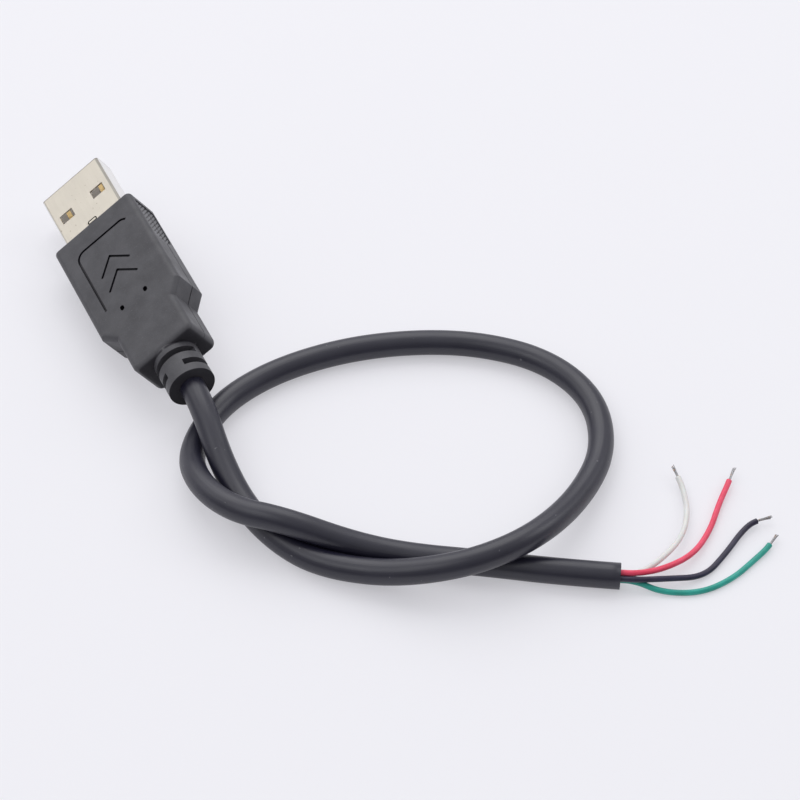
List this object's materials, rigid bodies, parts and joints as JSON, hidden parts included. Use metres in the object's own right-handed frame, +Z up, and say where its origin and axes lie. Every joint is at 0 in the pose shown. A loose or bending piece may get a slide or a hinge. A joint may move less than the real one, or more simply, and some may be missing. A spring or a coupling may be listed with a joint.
{
  "type": "usb cable",
  "caption": "Short dark data and charging lead: rectangular steel plug in a stepped grip with a slotted strain relief, a loosely looped round cord, and coloured wires with stripped tips.",
  "frame": {"origin": "bottom centre of the plug's box (steel shell and moulding), on the surface that the lead lies on", "axes": "+Z up from the surface; +Y along the plug towards its steel mouth; +X across the plug, to the right seen from above with the mouth away; the plug lies rolled 32 degrees about Y, on its long edge at -X"},
  "size_m": [0.0793, 0.1151, 0.0146],
  "materials": {
    "shell_nickel": "satin nickel plate",
    "insulator_grey": "moulded, fine",
    "contact_gold": "gold plated",
    "solder_tin": "dull solder",
    "inner_pvc": "natural, moulded",
    "mould_black": "soft satin moulding",
    "jacket_black": "smooth extruded, soft sheen",
    "wire_red": "smooth extruded, glossy",
    "wire_white": "smooth extruded, glossy",
    "wire_green": "smooth extruded, glossy",
    "wire_black": "smooth extruded, glossy",
    "strand_tinned": "tinned copper strands"
  },
  "bodies": {
    "root": {"plug_shell": "shell_nickel", "contact_insulator": "insulator_grey", "contact_retainer": "insulator_grey", "contact_power": "contact_gold", "contact_data_minus": "contact_gold", "contact_data_plus": "contact_gold", "contact_ground": "contact_gold", "solder_power": "solder_tin", "solder_data_minus": "solder_tin", "solder_data_plus": "solder_tin", "solder_ground": "solder_tin", "inner_mould": "inner_pvc", "overmould": "mould_black", "cable_jacket": "jacket_black", "wire_red": "wire_red", "wire_white": "wire_white", "wire_green": "wire_green", "wire_black": "wire_black", "conductor_red": "strand_tinned", "conductor_white": "strand_tinned", "conductor_green": "strand_tinned", "conductor_black": "strand_tinned"}
  },
  "joints": []
}
